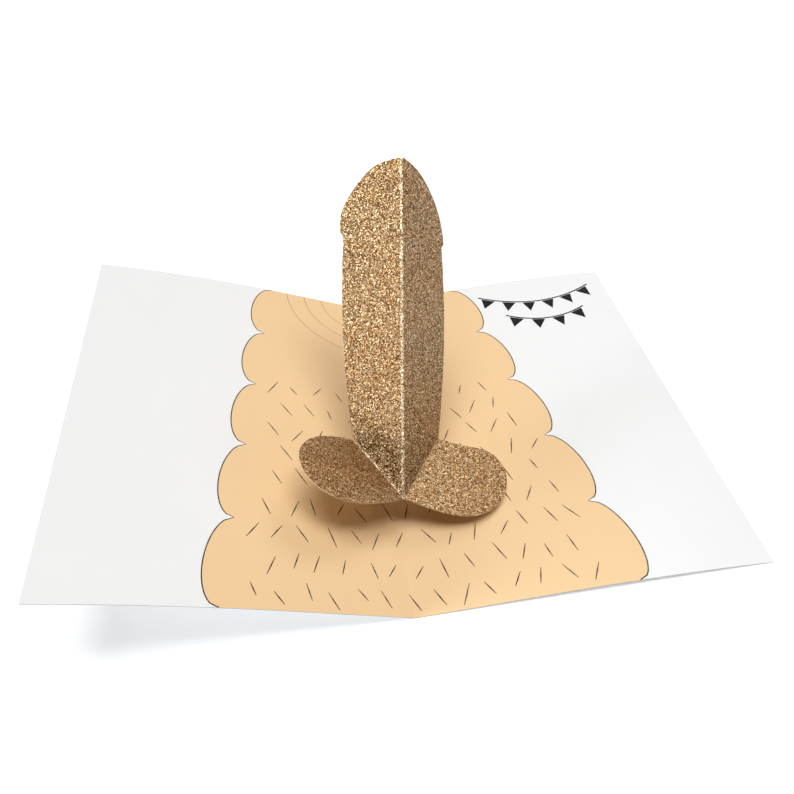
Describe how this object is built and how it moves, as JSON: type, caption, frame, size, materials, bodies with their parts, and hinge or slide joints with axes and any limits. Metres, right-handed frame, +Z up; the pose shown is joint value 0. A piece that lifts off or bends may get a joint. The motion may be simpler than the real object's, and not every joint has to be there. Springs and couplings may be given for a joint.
{
  "type": "pop up card",
  "caption": "Open folded greeting card with a folded glitter-card pop-up held over its fold by two hidden risers; adult novelty design.",
  "frame": {"origin": "on the table, below the middle of the object's bounding box", "axes": "+Z up; +Y along the card's fold, from the near edge to the far edge; +X to the right, towards the leaf that rests on the table"},
  "size_m": [0.2444, 0.178, 0.1053],
  "materials": {
    "card": "smooth uncoated white card, peach print inside",
    "glitter_card": "rose-gold glitter face, plain back",
    "riser_card": "plain white card"
  },
  "bodies": {
    "root": {"card": "card", "popup": "glitter_card", "riser_left": "riser_card", "riser_right": "riser_card"}
  },
  "joints": []
}
